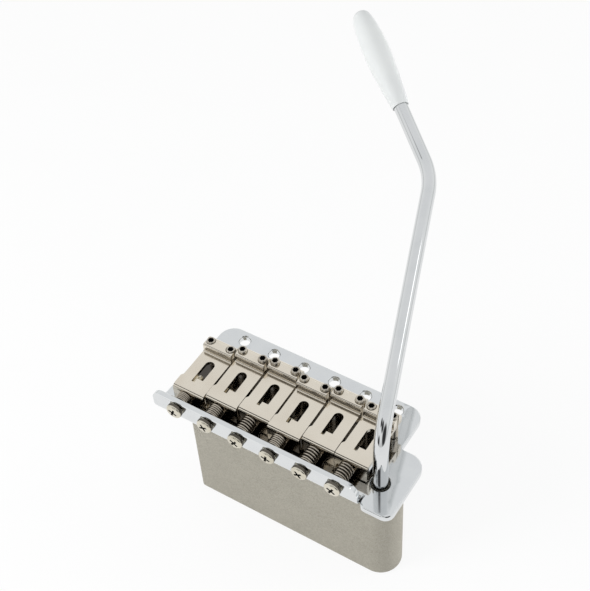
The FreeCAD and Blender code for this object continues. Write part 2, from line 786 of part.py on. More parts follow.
def check_state(parts):
    """Stop if any object failed or any part isn't a sound solid."""
    doc.recompute()
    for item in doc.Objects:
        if "Invalid" in item.State or "Error" in item.State:
            raise RuntimeError(f"{item.Label}: {item.State}")
    for part in parts:
        shape = part.Shape
        if shape.isNull() or not shape.isValid() or not shape.Solids or shape.Volume <= 0:
            raise RuntimeError(f"{part.Label}: unsound shape")


def build_all():
    """Build every part and write one file for each."""
    parts = [build_plate(), build_block(), build_block_screws()]
    for index in range(STRING_COUNT):
        parts.append(build_saddle(index))
        parts.append(build_intonation_screw(index))
        parts.append(build_spring(index))
        parts += [build_height_screw(index, side) for side in (-1, 1)]
    parts += [build_arm_rod(), build_arm_tip()]
    check_state(parts)
    os.makedirs("parts", exist_ok=True)
    for part in parts:
        part.Shape.exportStep(f"parts/{part.Label}.step")
        print(f"{part.Label}: {part.Shape.Volume:.2f} mm3, {len(part.Shape.Solids)} solids")


build_all()
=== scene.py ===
"""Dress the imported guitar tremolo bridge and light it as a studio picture."""

from __future__ import annotations

import logging
import math
from dataclasses import dataclass, field
from enum import Enum, IntEnum
from typing import Any, Sequence

import bmesh
import bpy
from mathutils import Matrix, Vector

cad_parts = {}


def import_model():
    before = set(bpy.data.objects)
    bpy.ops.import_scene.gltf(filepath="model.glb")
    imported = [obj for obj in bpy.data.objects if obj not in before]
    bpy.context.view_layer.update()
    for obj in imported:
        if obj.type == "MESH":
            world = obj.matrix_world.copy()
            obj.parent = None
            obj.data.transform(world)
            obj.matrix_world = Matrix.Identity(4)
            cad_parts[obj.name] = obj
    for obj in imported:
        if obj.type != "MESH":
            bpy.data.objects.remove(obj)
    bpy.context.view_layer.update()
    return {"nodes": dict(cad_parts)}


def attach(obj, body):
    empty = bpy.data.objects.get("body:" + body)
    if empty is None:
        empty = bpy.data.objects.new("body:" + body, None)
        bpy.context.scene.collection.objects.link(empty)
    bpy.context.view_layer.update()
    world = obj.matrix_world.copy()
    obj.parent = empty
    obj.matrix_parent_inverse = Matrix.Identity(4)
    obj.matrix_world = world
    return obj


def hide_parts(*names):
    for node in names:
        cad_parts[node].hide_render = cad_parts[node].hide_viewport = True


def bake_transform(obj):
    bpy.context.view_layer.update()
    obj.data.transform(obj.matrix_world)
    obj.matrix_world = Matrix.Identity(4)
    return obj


LOG = logging.getLogger("tremolo_bridge")
MM = 0.001
FULL_TURN = 2.0 * math.pi
STRING_COUNT = 6
MIDDLE_STRING = (STRING_COUNT - 1) / 2.0
WELD = 1e-7
THREAD_WELD = 2e-6

Triple = tuple[float, float, float]
Inputs = dict[str | int, Any]
Piece = bpy.types.Object
Mesh = bmesh.types.BMesh
Edge = bmesh.types.BMEdge
Face = bmesh.types.BMFace


class Axis(Enum):
    """A coordinate axis of the bridge's frame."""

    X = "X"
    Y = "Y"
    Z = "Z"


class Side(Enum):
    """A side of a saddle, with the sign of its direction along X."""

    BASS = -1
    TREBLE = 1


class Skin(IntEnum):
    """The place of a finish among the materials of a screw."""

    BODY = 0
    # Faces inside a socket or recess, with painted shade.
    SOCKET = 1
    # Faces with painted shade: the heads' side walls and the threads inside the springs.
    DULL = 2


class Field:
    """A shader value that Python arithmetic can build on."""

    def __init__(self, graph: Graph, socket: bpy.types.NodeSocket | None) -> None:
        """Wrap one output socket of a graph."""
        self.graph = graph
        self.socket = socket

    def _math(self, operation: str, first: Any, second: Any) -> Field:
        """Add a Math node on two values or fields and return its result."""
        return self.graph.add("ShaderNodeMath", {"operation": operation}, {0: first, 1: second})

    def __add__(self, other: Any) -> Field:
        """Add a value or a field."""
        return self._math("ADD", self, other)

    def __rsub__(self, other: Any) -> Field:
        """Take this field away from a value."""
        return self._math("SUBTRACT", other, self)

    def __mul__(self, other: Any) -> Field:
        """Multiply by a value or a field."""
        return self._math("MULTIPLY", self, other)

    __radd__ = __add__
    __rmul__ = __mul__

    def ramp(self, low: float, high: float, start: float = 0.0, end: float = 1.0) -> Field:
        """Return a smooth step that goes from start at low to end at high."""
        inputs = {"Value": self, "From Min": low, "From Max": high, "To Min": start, "To Max": end}
        return self.graph.add("ShaderNodeMapRange", {"interpolation_type": "SMOOTHSTEP"}, inputs)


class Graph:
    """The nodes of one material or of the world."""

    # A Mix node has sockets of the same name for each kind of data, so those for colours go by number.
    MIX_SHARE, MIX_FIRST, MIX_SECOND, MIX_RESULT = 0, 6, 7, 2

    def __init__(self, owner: bpy.types.Material | bpy.types.World) -> None:
        """Empty the owner's node tree and keep it.

        Args:
            owner: The material or the world.
        """
        owner.use_nodes = True
        self.tree = owner.node_tree
        self.tree.nodes.clear()

    def add(
        self,
        kind: str,
        settings: dict[str, Any] | None = None,
        inputs: Inputs | None = None,
        output: str | int = 0,
    ) -> Field:
        """Add any node.

        Args:
            kind: The node's type.
            settings: Its settings, which are set first.
            inputs: The values or fields of its sockets.
            output: The name or number of the output that is returned.

        Returns:
            The chosen output.
        """
        node = self.tree.nodes.new(kind)
        for name, value in (settings or {}).items():
            setattr(node, name, value)
        for name, value in (inputs or {}).items():
            if isinstance(value, Field):
                self.tree.links.new(value.socket, node.inputs[name])
            else:
                node.inputs[name].default_value = value
        return Field(self, node.outputs[output] if len(node.outputs) else None)

    def place(self) -> Field:
        """Return the Object coordinates, in metres in the bridge's frame."""
        return self.add("ShaderNodeTexCoord", output="Object")

    def along(self, vector: Field, axis: Axis) -> Field:
        """Return one part of a vector."""
        return self.add("ShaderNodeSeparateXYZ", inputs={0: vector}, output=axis.value)

    def stretch(self, vector: Field, scale: Triple) -> Field:
        """Scale a vector along each axis."""
        return self.add("ShaderNodeMapping", inputs={"Vector": vector, "Scale": scale})

    def noise(self, vector: Field, size: float, detail: float = 2.0, rough: float = 0.5) -> Field:
        """Return soft noise, about 0.5 on average, with blotches of a size in millimetres."""
        inputs = {"Vector": vector, "Scale": 1.0 / (size * MM), "Detail": detail, "Roughness": rough}
        return self.add("ShaderNodeTexNoise", {"noise_dimensions": "3D"}, inputs)

    def mix(self, share: Field, first: Triple | Field, second: Triple | Field) -> Field:
        """Mix two colours.

        Args:
            share: The share of the second colour.
            first: The first colour or field.
            second: The second colour or field.

        Returns:
            The mixed colour.
        """
        one, two = (end if isinstance(end, Field) else (*end, 1.0) for end in (first, second))
        inputs = {self.MIX_SHARE: share, self.MIX_FIRST: one, self.MIX_SECOND: two}
        return self.add("ShaderNodeMix", {"data_type": "RGBA"}, inputs, self.MIX_RESULT)

    def bump(self, height: Field, depth: float) -> Field:
        """Return a normal raised by a height field, with the depth in millimetres."""
        return self.add("ShaderNodeBump", inputs={"Height": height, "Distance": depth * MM, "Strength": 1.0})


@dataclass(frozen=True)
class Finish:
    """A finish with the slot that it fills and the two tones that it wanders between."""

    name: str
    slot: str
    colour: Triple
    shade: Triple

    def inputs(self, graph: Graph, place: Field) -> Inputs:
        """Return the values and fields of the shader, which each kind of finish gives."""
        raise NotImplementedError

    def make(self) -> bpy.types.Material:
        """Make the finish's material.

        Returns:
            The material.
        """
        material = bpy.data.materials.new(self.name)
        graph = Graph(material)
        shader = graph.add("ShaderNodeBsdfPrincipled", inputs=self.inputs(graph, graph.place()))
        graph.add("ShaderNodeOutputMaterial", inputs={"Surface": shader})
        return material


@dataclass(frozen=True)
class PlatedMetal(Finish):
    """A bright plated metal with faint polishing marks and handling smears."""

    roughness: float
    smear: float
    grain: float
    grain_stretch: Triple = (1.0, 1.0, 1.0)
    grain_size: float = 0.25
    grain_share: float = 0.5
    cloud_size: float = 7.0
    stain_range: tuple[float, float] = (0.35, 0.75)
    smear_range: tuple[float, float] = (0.3, 0.8)

    def base_colour(self, graph: Graph, place: Field, cloud: Field) -> Field:
        """Return the metal's colour with its faint stains."""
        return graph.mix(cloud.ramp(*self.stain_range), self.colour, self.shade)

    def inputs(self, graph: Graph, place: Field) -> Inputs:
        """Lay smears and a fine grain over the metal.

        Args:
            graph: The material's nodes.
            place: The coordinates.

        Returns:
            The shader's values and fields.
        """
        cloud = graph.noise(place, self.cloud_size, 3.0)
        fine = graph.noise(graph.stretch(place, self.grain_stretch), self.grain_size, 2.0, 0.6)
        rough = cloud.ramp(*self.smear_range, self.roughness, self.roughness + self.smear)
        return {
            "Base Color": self.base_colour(graph, place, cloud),
            "Metallic": 1.0,
            "Roughness": rough + fine * (self.smear * self.grain_share),
            "Normal": graph.bump(fine, self.grain),
        }


@dataclass(frozen=True)
class PaintedShadeChrome(PlatedMetal):
    """The plate's chrome, with painted shade under the saddles."""

    painted_shade: Triple = (0.085, 0.078, 0.07)
    painted_shade_x: tuple[float, float] = (-34.3, 31.2)
    painted_shade_y: tuple[float, float] = (-34.2, -9.5)
    painted_shade_edge: float = 0.8
    painted_shade_top: float = 7.6
    painted_shade_fade: float = 0.4

    def base_colour(self, graph: Graph, place: Field, cloud: Field) -> Field:
        """Paint shade onto the chrome under the saddles.

        Args:
            graph: The material's nodes.
            place: The coordinates.
            cloud: The noise of the stains.

        Returns:
            The colour.
        """
        bright = super().base_colour(graph, place, cloud)
        # Painted shade: the colour turns dark in a box under the saddles, below a height, where their shade
        # falls.
        height = graph.along(place, Axis.Z)
        share = 1.0 - height.ramp((self.painted_shade_top - self.painted_shade_fade) * MM, self.painted_shade_top * MM)
        for axis, (low, high) in ((Axis.X, self.painted_shade_x), (Axis.Y, self.painted_shade_y)):
            run = graph.along(place, axis)
            share = share * run.ramp(low * MM, (low + self.painted_shade_edge) * MM)
            share = share * (1.0 - run.ramp((high - self.painted_shade_edge) * MM, high * MM))
        return graph.mix(share, bright, self.painted_shade)


@dataclass(frozen=True)
class BlastedCast(Finish):
    """A fine blasted casting with a dull, even grain."""

    cloud_size: float = 9.0
    grain_size: float = 0.35
    pit_size: float = 1.6
    cloud_share: float = 0.18
    pit_share: float = 0.25
    depth: float = 0.08
    metallic: float = 0.35
    tone_range: tuple[float, float] = (0.3, 0.72)
    grain_range: tuple[float, float] = (0.2, 0.8)
    roughness: tuple[float, float] = (0.5, 0.68)

    def inputs(self, graph: Graph, place: Field) -> Inputs:
        """Lay a grain, shallow pits and faint clouds over the casting.

        Args:
            graph: The material's nodes.
            place: The coordinates.

        Returns:
            The shader's values and fields.
        """
        cloud = graph.noise(place, self.cloud_size, 4.0, 0.6)
        grain = graph.noise(place, self.grain_size, 3.0, 0.7)
        pits = graph.noise(place, self.pit_size)
        share = cloud * self.cloud_share + grain * (1.0 - self.cloud_share)
        return {
            "Base Color": graph.mix(share.ramp(*self.tone_range), self.colour, self.shade),
            "Metallic": self.metallic,
            "Roughness": grain.ramp(*self.grain_range, *self.roughness),
            "Normal": graph.bump(grain + pits * self.pit_share, self.depth),
        }


@dataclass(frozen=True)
class MouldedPlastic(Finish):
    """A pale moulded plastic with a faint flow and a soft skin."""

    cloud_size: float = 12.0
    skin_size: float = 0.3
    depth: float = 0.008
    flow_range: tuple[float, float] = (0.35, 0.7)
    skin_range: tuple[float, float] = (0.2, 0.8)
    roughness: tuple[float, float] = (0.3, 0.42)

    def inputs(self, graph: Graph, place: Field) -> Inputs:
        """Lay a faint flow and a fine skin over the plastic.

        Args:
            graph: The material's nodes.
            place: The coordinates.

        Returns:
            The shader's values and fields.
        """
        cloud = graph.noise(place, self.cloud_size, 3.0)
        skin = graph.noise(place, self.skin_size)
        return {
            "Base Color": graph.mix(cloud.ramp(*self.flow_range), self.colour, self.shade),
            "Metallic": 0.0,
            "Roughness": skin.ramp(*self.skin_range, *self.roughness),
            "Normal": graph.bump(skin, self.depth),
        }


@dataclass
class Finishes:
    """Every finish of the bridge, made once."""

    # The plate's chrome carries painted shade under the saddles.
    chrome: PaintedShadeChrome = PaintedShadeChrome(
        "bright_chrome", "chrome", (0.73, 0.745, 0.75), (0.70, 0.715, 0.725),
        roughness=0.05, smear=0.04, grain=0.0004,
    )
    rod: PlatedMetal = PlatedMetal(
        "rod_chrome", "chrome", (0.72, 0.73, 0.735), (0.68, 0.695, 0.70),
        roughness=0.04, smear=0.04, grain=0.0004,
    )
    # A near-black finish inside the screws' sockets and recesses: painted shade in the hollows.
    socket: PlatedMetal = PlatedMetal(
        "socket_painted_shade", "screw_steel", (0.05, 0.048, 0.045), (0.03, 0.03, 0.03),
        roughness=0.45, smear=0.1, grain=0.002,
    )
    nickel: PlatedMetal = PlatedMetal(
        "saddle_nickel", "nickel", (0.78, 0.72, 0.62), (0.74, 0.675, 0.575),
        roughness=0.10, smear=0.05, grain=0.0004, grain_stretch=(0.12, 0.12, 1.0),
    )
    spring: PlatedMetal = PlatedMetal(
        "spring_wire", "spring_steel", (0.50, 0.455, 0.39), (0.36, 0.32, 0.27),
        roughness=0.16, smear=0.1, grain=0.001,
    )
    screw: PlatedMetal = PlatedMetal(
        "screw_nickel", "screw_steel", (0.72, 0.68, 0.58), (0.62, 0.58, 0.47),
        roughness=0.16, smear=0.1, grain=0.001,
    )
    # A dark finish that is painted shade on the lip screws' head sides and on their threads inside the
    # springs.
    rim: PlatedMetal = PlatedMetal(
        "screw_painted_shade", "screw_steel", (0.14, 0.125, 0.105), (0.08, 0.072, 0.06),
        roughness=0.28, smear=0.1, grain=0.002,
    )
    stud: PlatedMetal = PlatedMetal(
        "set_screw_nickel", "screw_steel", (0.58, 0.54, 0.47), (0.44, 0.40, 0.34),
        roughness=0.16, smear=0.1, grain=0.001,
    )
    cast: BlastedCast = BlastedCast("blasted_cast", "cast_metal", (0.45, 0.425, 0.36), (0.32, 0.30, 0.25))
    plastic: MouldedPlastic = MouldedPlastic(
        "tip_plastic", "white_plastic", (0.775, 0.79, 0.785), (0.74, 0.755, 0.755)
    )
    made: dict[str, bpy.types.Material] = field(default_factory=dict)

    def dress(self, piece: Piece, *finishes: Finish) -> None:
        """Give a piece its finishes, whose materials are made the first time.

        Args:
            piece: The piece or the solid.
            finishes: Its finishes, in the order of its material numbers.
        """
        if piece.data.materials:
            piece.data.materials.clear()
        for finish in finishes:
            if finish.name not in self.made:
                self.made[finish.name] = finish.make()
            piece.data.materials.append(self.made[finish.name])


def finish_mesh(name: str, mesh: Mesh, smooth_angle: float = 40.0) -> Piece:
    """Turn a bmesh into a linked object with smooth shading up to an angle.

    Args:
        name: The piece's name.
        mesh: The bmesh, which is freed.
        smooth_angle: The angle in degrees above which an edge stays sharp.

    Returns:
        The new object, at the origin.
    """
    bmesh.ops.recalc_face_normals(mesh, faces=mesh.faces)
    limit = math.radians(smooth_angle)
    for face in mesh.faces:
        face.smooth = True
    for edge in mesh.edges:
        edge.smooth = len(edge.link_faces) != 2 or edge.calc_face_angle() < limit
    data = bpy.data.meshes.new(name)
    mesh.to_mesh(data)
    mesh.free()
    piece = bpy.data.objects.new(name, data)
    bpy.context.scene.collection.objects.link(piece)
    return piece


def spin_line(
    mesh: Mesh, outline: Sequence[tuple[float, float]], steps: int = 48, turns: int = 1, rise: float = 0.0
) -> None:
    """Turn a line about the Z axis, as on a lathe, or wind it up the axis.

    Args:
        mesh: The mesh that gets the shape.
        outline: Each point's distance from the axis and its height, in millimetres.
        steps: The faces to a turn.
        turns: The whole turns.
        rise: How far a turn climbs, in millimetres.
    """
    chain = [mesh.verts.new((out * MM, 0.0, up * MM)) for out, up in outline]
    edges = [mesh.edges.new(pair) for pair in zip(chain, chain[1:])]
    bmesh.ops.spin(
        mesh, geom=chain + edges, cent=(0, 0, 0), axis=(0, 0, 1), dvec=(0.0, 0.0, rise * MM / steps),
        angle=FULL_TURN * turns, steps=steps * turns, use_merge=rise == 0.0,
    )


def fill_between(mesh: Mesh, edges: list[Edge], up: float = 1.0) -> None:
    """Fill the level ground between loops of edges, facing up for 1 and down for -1."""
    bmesh.ops.triangle_fill(mesh, use_beauty=True, use_dissolve=False, edges=edges, normal=(0.0, 0.0, up))


@dataclass(frozen=True)
class SaddleRow:
    """Where the saddle groups stand, shared by their springs, their screws and the lip's holes."""

    pitch: float = 11.2
    screw_offset: float = -1.13
    lip_middle: float = -34.65
    axis_height: float = 6.2
    half_lip: float = 1.0
    spring_lengths: tuple[float, ...] = (3.15, 4.45, 5.55, 4.45, 5.85, 5.85)
    tilts: tuple[float, ...] = (0.3, 1.6, 1.2, 2.0, 1.5, 0.2)

    def place(self, index: int, offset: float = 0.0) -> Matrix:
        """Return the matrix that lays a mesh along a saddle group's tilted axes, at an offset along X."""
        base = Vector((self.pitch * (index - MIDDLE_STRING) + offset, self.lip_middle, self.axis_height))
        return Matrix.Translation(base * MM) @ Matrix.Rotation(math.radians(self.tilts[index]), 4, "X")


@dataclass(frozen=True)
class Thread:
    """A V-shaped screw thread, wound about the Z axis."""

    radius: float
    depth: float
    steps: int
    pitch: float = 0.5

    @property
    def root(self) -> float:
        """Return the radius at the thread's root."""
        return self.radius - self.depth

    def wind(self, mesh: Mesh, start: float, length: float) -> float:
        """Wind one turn fewer than a length takes.

        Args:
            mesh: The empty screw.
            start: The height at which the thread starts, in millimetres.
            length: The length that it may take, in millimetres.

        Returns:
            The height that its lower edge reaches.
        """
        turns = int(length / self.pitch) - 1
        crest, after = start + self.pitch / 2.0, start + self.pitch
        outline = ((self.root, start), (self.radius, crest), (self.root, after))
        spin_line(mesh, outline, self.steps, turns, self.pitch)
        bmesh.ops.remove_doubles(mesh, verts=mesh.verts, dist=THREAD_WELD)
        return start + self.pitch * turns


@dataclass
class SpringSet:
    """The wound springs between the lip and the saddles."""

    finishes: Finishes
    row: SaddleRow = SaddleRow()
    radius: float = 2.25
    wire: float = 0.25
    wire_sides: int = 14
    rear_gap: float = 0.15
    front_gap: float = 0.08
    turns: float = 6.0
    closed_turns: float = 0.9
    closed_pitch: float = 1.02
    turn_steps: int = 40
    least_steps: int = 8

    def build(self) -> list[Piece]:
        """Build every spring."""
        return [self._spring(index) for index in range(STRING_COUNT)]

    def _spring(self, index: int) -> Piece:
        """Wind one spring between its lip end and its saddle.

        Args:
            index: The saddle's number, from 0 at the bass side.

        Returns:
            The spring.
        """
        begin = self.row.half_lip + self.rear_gap + self.wire
        finish = self.row.half_lip + self.row.spring_lengths[index] - self.front_gap - self.wire
        rise = 2.0 * self.wire * self.closed_pitch
        quarters = math.floor((finish - begin) / rise * 4.0)
        turns = min(self.turns, quarters / 4.0)
        closed = (self.closed_turns, rise * self.closed_turns)
        opened = (turns - 2.0 * closed[0], finish - begin - 2.0 * closed[1])
        mesh = bmesh.new()
        bmesh.ops.create_circle(mesh, cap_ends=True, radius=self.wire * MM, segments=self.wire_sides)
        bmesh.ops.translate(mesh, verts=mesh.verts, vec=(self.radius * MM, begin * MM, 0.0))
        geometry = [*mesh.verts, *mesh.edges, *mesh.faces]
        for share, run in (closed, opened, closed):
            steps = max(self.least_steps, round(self.turn_steps * share))
            made = bmesh.ops.spin(
                mesh, geom=geometry, cent=(0, 0, 0), axis=(0, -1, 0),
                dvec=(0.0, run * MM / steps, 0.0), angle=FULL_TURN * share, steps=steps,
            )
            geometry = made["geom_last"]
        bmesh.ops.remove_doubles(mesh, verts=mesh.verts, dist=WELD)
        place = self.row.place(index, self.row.screw_offset)
        bmesh.ops.transform(mesh, verts=mesh.verts, matrix=place)
        spring = finish_mesh(f"spring_{index + 1}", mesh)
        self.finishes.dress(spring, self.finishes.spring)
        start, end = (place @ Vector((0.0, along * MM, 0.0)) for along in (begin, finish))
        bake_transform(spring)
        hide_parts(f"intonation_spring_{index + 1}")
        return spring


@dataclass
class BridgePlate:
    """The stamped plate with its bent lip and the wing that carries the arm."""

    finishes: Finishes
    row: SaddleRow = SaddleRow()
    thickness: float = 2.0
    front: float = 3.75
    left_front: float = -36.5
    left_rear: float = -38.2
    right: float = 36.0
    wing_right: float = 45.0
    wing_front: float = -11.8
    back: float = -35.65
    lip_right: float = 34.3
    lip_top: float = 9.05
    bend_inner: float = 1.5
    bend_start: float = -32.15
    bend_steps: int = 12
    taper_end: float = -30.15
    slit: float = 0.12
    slit_end: float = -31.9
    front_corner: float = 5.0
    wing_root_corner: float = 1.0
    wing_front_corner: float = 5.5
    wing_back_corner: float = 3.0
    wing_lip_corner: float = 2.2
    lip_right_corner: float = 4.2
    lip_left_corner: float = 3.0
    corner_steps: int = 10
    rim: float = 0.42
    rim_shares: tuple[float, ...] = (1.0, 0.45, 0.12, 0.0)
    rim_drops: tuple[float, ...] = (0.0, 1.0, 0.4, 0.1)
    under_share: float = 0.4
    hole_sides: int = 36
    pivot_radius: float = 1.75
    string_pitch: float = 10.5
    string_line: float = -22.4
    string_radius: float = 2.3
    sink_pitch: float = 22.4
    sink_line: float = -27.5
    sink_radius: float = 3.7
    sink_foot: float = 2.1
    sink_rims: float = 1.2
    arm_place: tuple[float, float] = (36.5, -25.6)
    arm_radius: float = 2.8
    screw_radius: float = 1.75
    smooth_angle: float = 50.0
    weld: float = 0.02
    line_gap: float = 0.001
    flat_weight: int = 90

    @property
    def bend_run(self) -> float:
        """Return the flat length of the bend."""
        return math.pi / 2.0 * (self.bend_inner + self.thickness / 2.0)

    @property
    def slit_middle(self) -> float:
        """Return the line between the lip and the wing."""
        return self.lip_right + self.slit / 2.0

    def _flat_line(self, height: float) -> float:
        """Return where a height on the lip lies in the flat sheet."""
        return self.bend_start - self.bend_run - (height - self.bend_inner - self.thickness)

    def build(self) -> Piece:
        """Stamp, round and bend the plate.

        Returns:
            The plate, which replaces its solid.
        """
        mesh = bmesh.new()
        self._stamp(mesh)
        self._score_bend(mesh)
        level = self._mark_rims(mesh)
        self._thicken(mesh, level)
        self._bend(mesh)
        plate = finish_mesh("plate", mesh, self.smooth_angle)
        flats = plate.modifiers.new("flat_shading", "WEIGHTED_NORMAL")
        flats.keep_sharp = True
        flats.weight = self.flat_weight
        self.finishes.dress(plate, self.finishes.chrome)
        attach(plate, "bridge")
        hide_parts("bridge_plate")
        return plate

    def _stamp(self, mesh: Mesh) -> None:
        """Fill the flat sheet between its rounded outline and its holes.

        Args:
            mesh: The empty plate.
        """
        split = self.lip_right + self.slit
        lip_end = self._flat_line(self.lip_top)
        corners = (
            (self.left_rear, self.taper_end, 0.0),
            (self.left_front, self.front, self.front_corner),
            (self.right, self.front, self.front_corner),
            (self.right, self.wing_front, self.wing_root_corner),
            (self.wing_right, self.wing_front, self.wing_front_corner),
            (self.wing_right, self.back, self.wing_back_corner),
            (split, self.back, self.wing_lip_corner),
            (split, self.slit_end, 0.0),
            (self.lip_right, self.slit_end, 0.0),
            (self.lip_right, lip_end, self.lip_right_corner),
            (self.left_rear, lip_end, self.lip_left_corner),
        )
        mesh.faces.new([mesh.verts.new((x * MM, y * MM, 0.0)) for x, y, _ in corners])
        for x, y, radius in corners:
            if radius:
                place = Vector((x, y, 0.0)) * MM
                corner = min(mesh.verts, key=lambda vert: (vert.co - place).length)
                bmesh.ops.bevel(
                    mesh, geom=[corner], offset=radius * MM, offset_type="OFFSET", affect="VERTICES",
                    segments=self.corner_steps, profile=0.5, material=-1, clamp_overlap=False,
                )
        bmesh.ops.delete(mesh, geom=list(mesh.faces), context="FACES_ONLY")
        for x, y, radius in self._holes():
            bmesh.ops.create_circle(
                mesh, cap_ends=False, radius=radius * MM, segments=self.hole_sides,
                matrix=Matrix.Translation((x * MM, y * MM, 0.0)),
            )
        fill_between(mesh, list(mesh.edges))

    def _holes(self) -> list[Triple]:
        """List the holes.

        Returns:
            Each hole's place in the flat sheet and its radius.
        """
        lip_line = self._flat_line(self.row.axis_height)
        holes = [(*self.arm_place, self.arm_radius)]
        for index in range(STRING_COUNT):
            step = index - MIDDLE_STRING
            holes.append((step * self.row.pitch, 0.0, self.pivot_radius))
            holes.append((step * self.string_pitch, self.string_line, self.string_radius))
            holes.append((step * self.row.pitch + self.row.screw_offset, lip_line, self.screw_radius))
        holes += [(side * self.sink_pitch, self.sink_line, self.sink_radius) for side in (-1, 0, 1)]
        return holes

    def _score_bend(self, mesh: Mesh) -> None:
        """Cut the sheet along the lines that the bend needs.

        Args:
            mesh: The flat sheet.
        """
        for step in range(self.bend_steps + 1):
            line = self.bend_start - self.bend_run * step / self.bend_steps
            faces = [face for face in mesh.faces if self._in_lip(face)]
            parts = dict.fromkeys(part for face in faces for part in (*face.verts, *face.edges))
            bmesh.ops.bisect_plane(
                mesh, geom=[*faces, *parts], dist=WELD,
                plane_co=(0.0, line * MM, 0.0), plane_no=(0.0, 1.0, 0.0),
            )
        bmesh.ops.remove_doubles(mesh, verts=mesh.verts, dist=self.weld * MM)

    def _in_lip(self, face: Face) -> bool:
        """Tell whether a face of the flat sheet reaches into the lip."""
        beyond = [vert for vert in face.verts if vert.co.y < (self.bend_start - self.line_gap) * MM]
        return bool(beyond) and all(vert.co.x < self.slit_middle * MM for vert in beyond)

    def _mark_rims(self, mesh: Mesh) -> bmesh.types.BMLayerItem:
        """Inset the sheet so that every rim has its own strips.

        Args:
            mesh: The flat sheet.

        Returns:
            The layer that numbers a vertex's strip from 1 at the rim, with 0 inside.
        """
        level = mesh.verts.layers.int.new("rim")
        inner = list(mesh.faces)
        kept = set(inner)
        for number, (share, after) in enumerate(zip(self.rim_shares, self.rim_shares[1:])):
            edges = {edge for face in inner for edge in face.edges}
            rims = [edge for edge in edges if sum(face in kept for face in edge.link_faces) == 1]
            for vert in {vert for edge in rims for vert in edge.verts}:
                vert[level] = number + 1
            bmesh.ops.inset_region(
                mesh, faces=inner, thickness=self.rim * (share - after) * MM, depth=0.0,
                use_boundary=True, use_even_offset=True, use_interpolate=True,
            )
            for vert in {vert for face in inner for vert in face.verts}:
                vert[level] = 0
        return level

    def _thicken(self, mesh: Mesh, level: bmesh.types.BMLayerItem) -> None:
        """Raise the sheet to its thickness, round the rims and shape the screw sinks.

        Args:
            mesh: The flat sheet.
            level: The layer that numbers the strips.
        """
        made = bmesh.ops.extrude_face_region(mesh, geom=list(mesh.faces))
        top = {item for item in made["geom"] if isinstance(item, bmesh.types.BMVert)}
        for vert in mesh.verts:
            drop = self.rim_drops[vert[level]] * self.rim
            vert.co.z = (self.thickness - drop if vert in top else drop * self.under_share) * MM
            if vert in top:
                continue
            for side in (-1, 0, 1):
                centre = Vector((side * self.sink_pitch, self.sink_line)) * MM
                arm = vert.co.xy - centre
                if arm.length < (self.sink_radius + self.rim * self.sink_rims) * MM:
                    vert.co.xy = centre + arm * (self.sink_foot / self.sink_radius)

    def _bend(self, mesh: Mesh) -> None:
        """Turn the lip up about the bend.

        Args:
            mesh: The flat plate.
        """
        outer = self.bend_inner + self.thickness
        for vert in mesh.verts:
            x, y, z = (part / MM for part in vert.co)
            run = self.bend_start - y
            if run <= 0.0 or x > self.slit_middle:
                continue
            turn = min(run / self.bend_run, 1.0) * math.pi / 2.0
            radius = outer - z
            rise = max(run - self.bend_run, 0.0)
            vert.co.y = (self.bend_start - radius * math.sin(turn)) * MM
            vert.co.z = (outer - radius * math.cos(turn) + rise) * MM


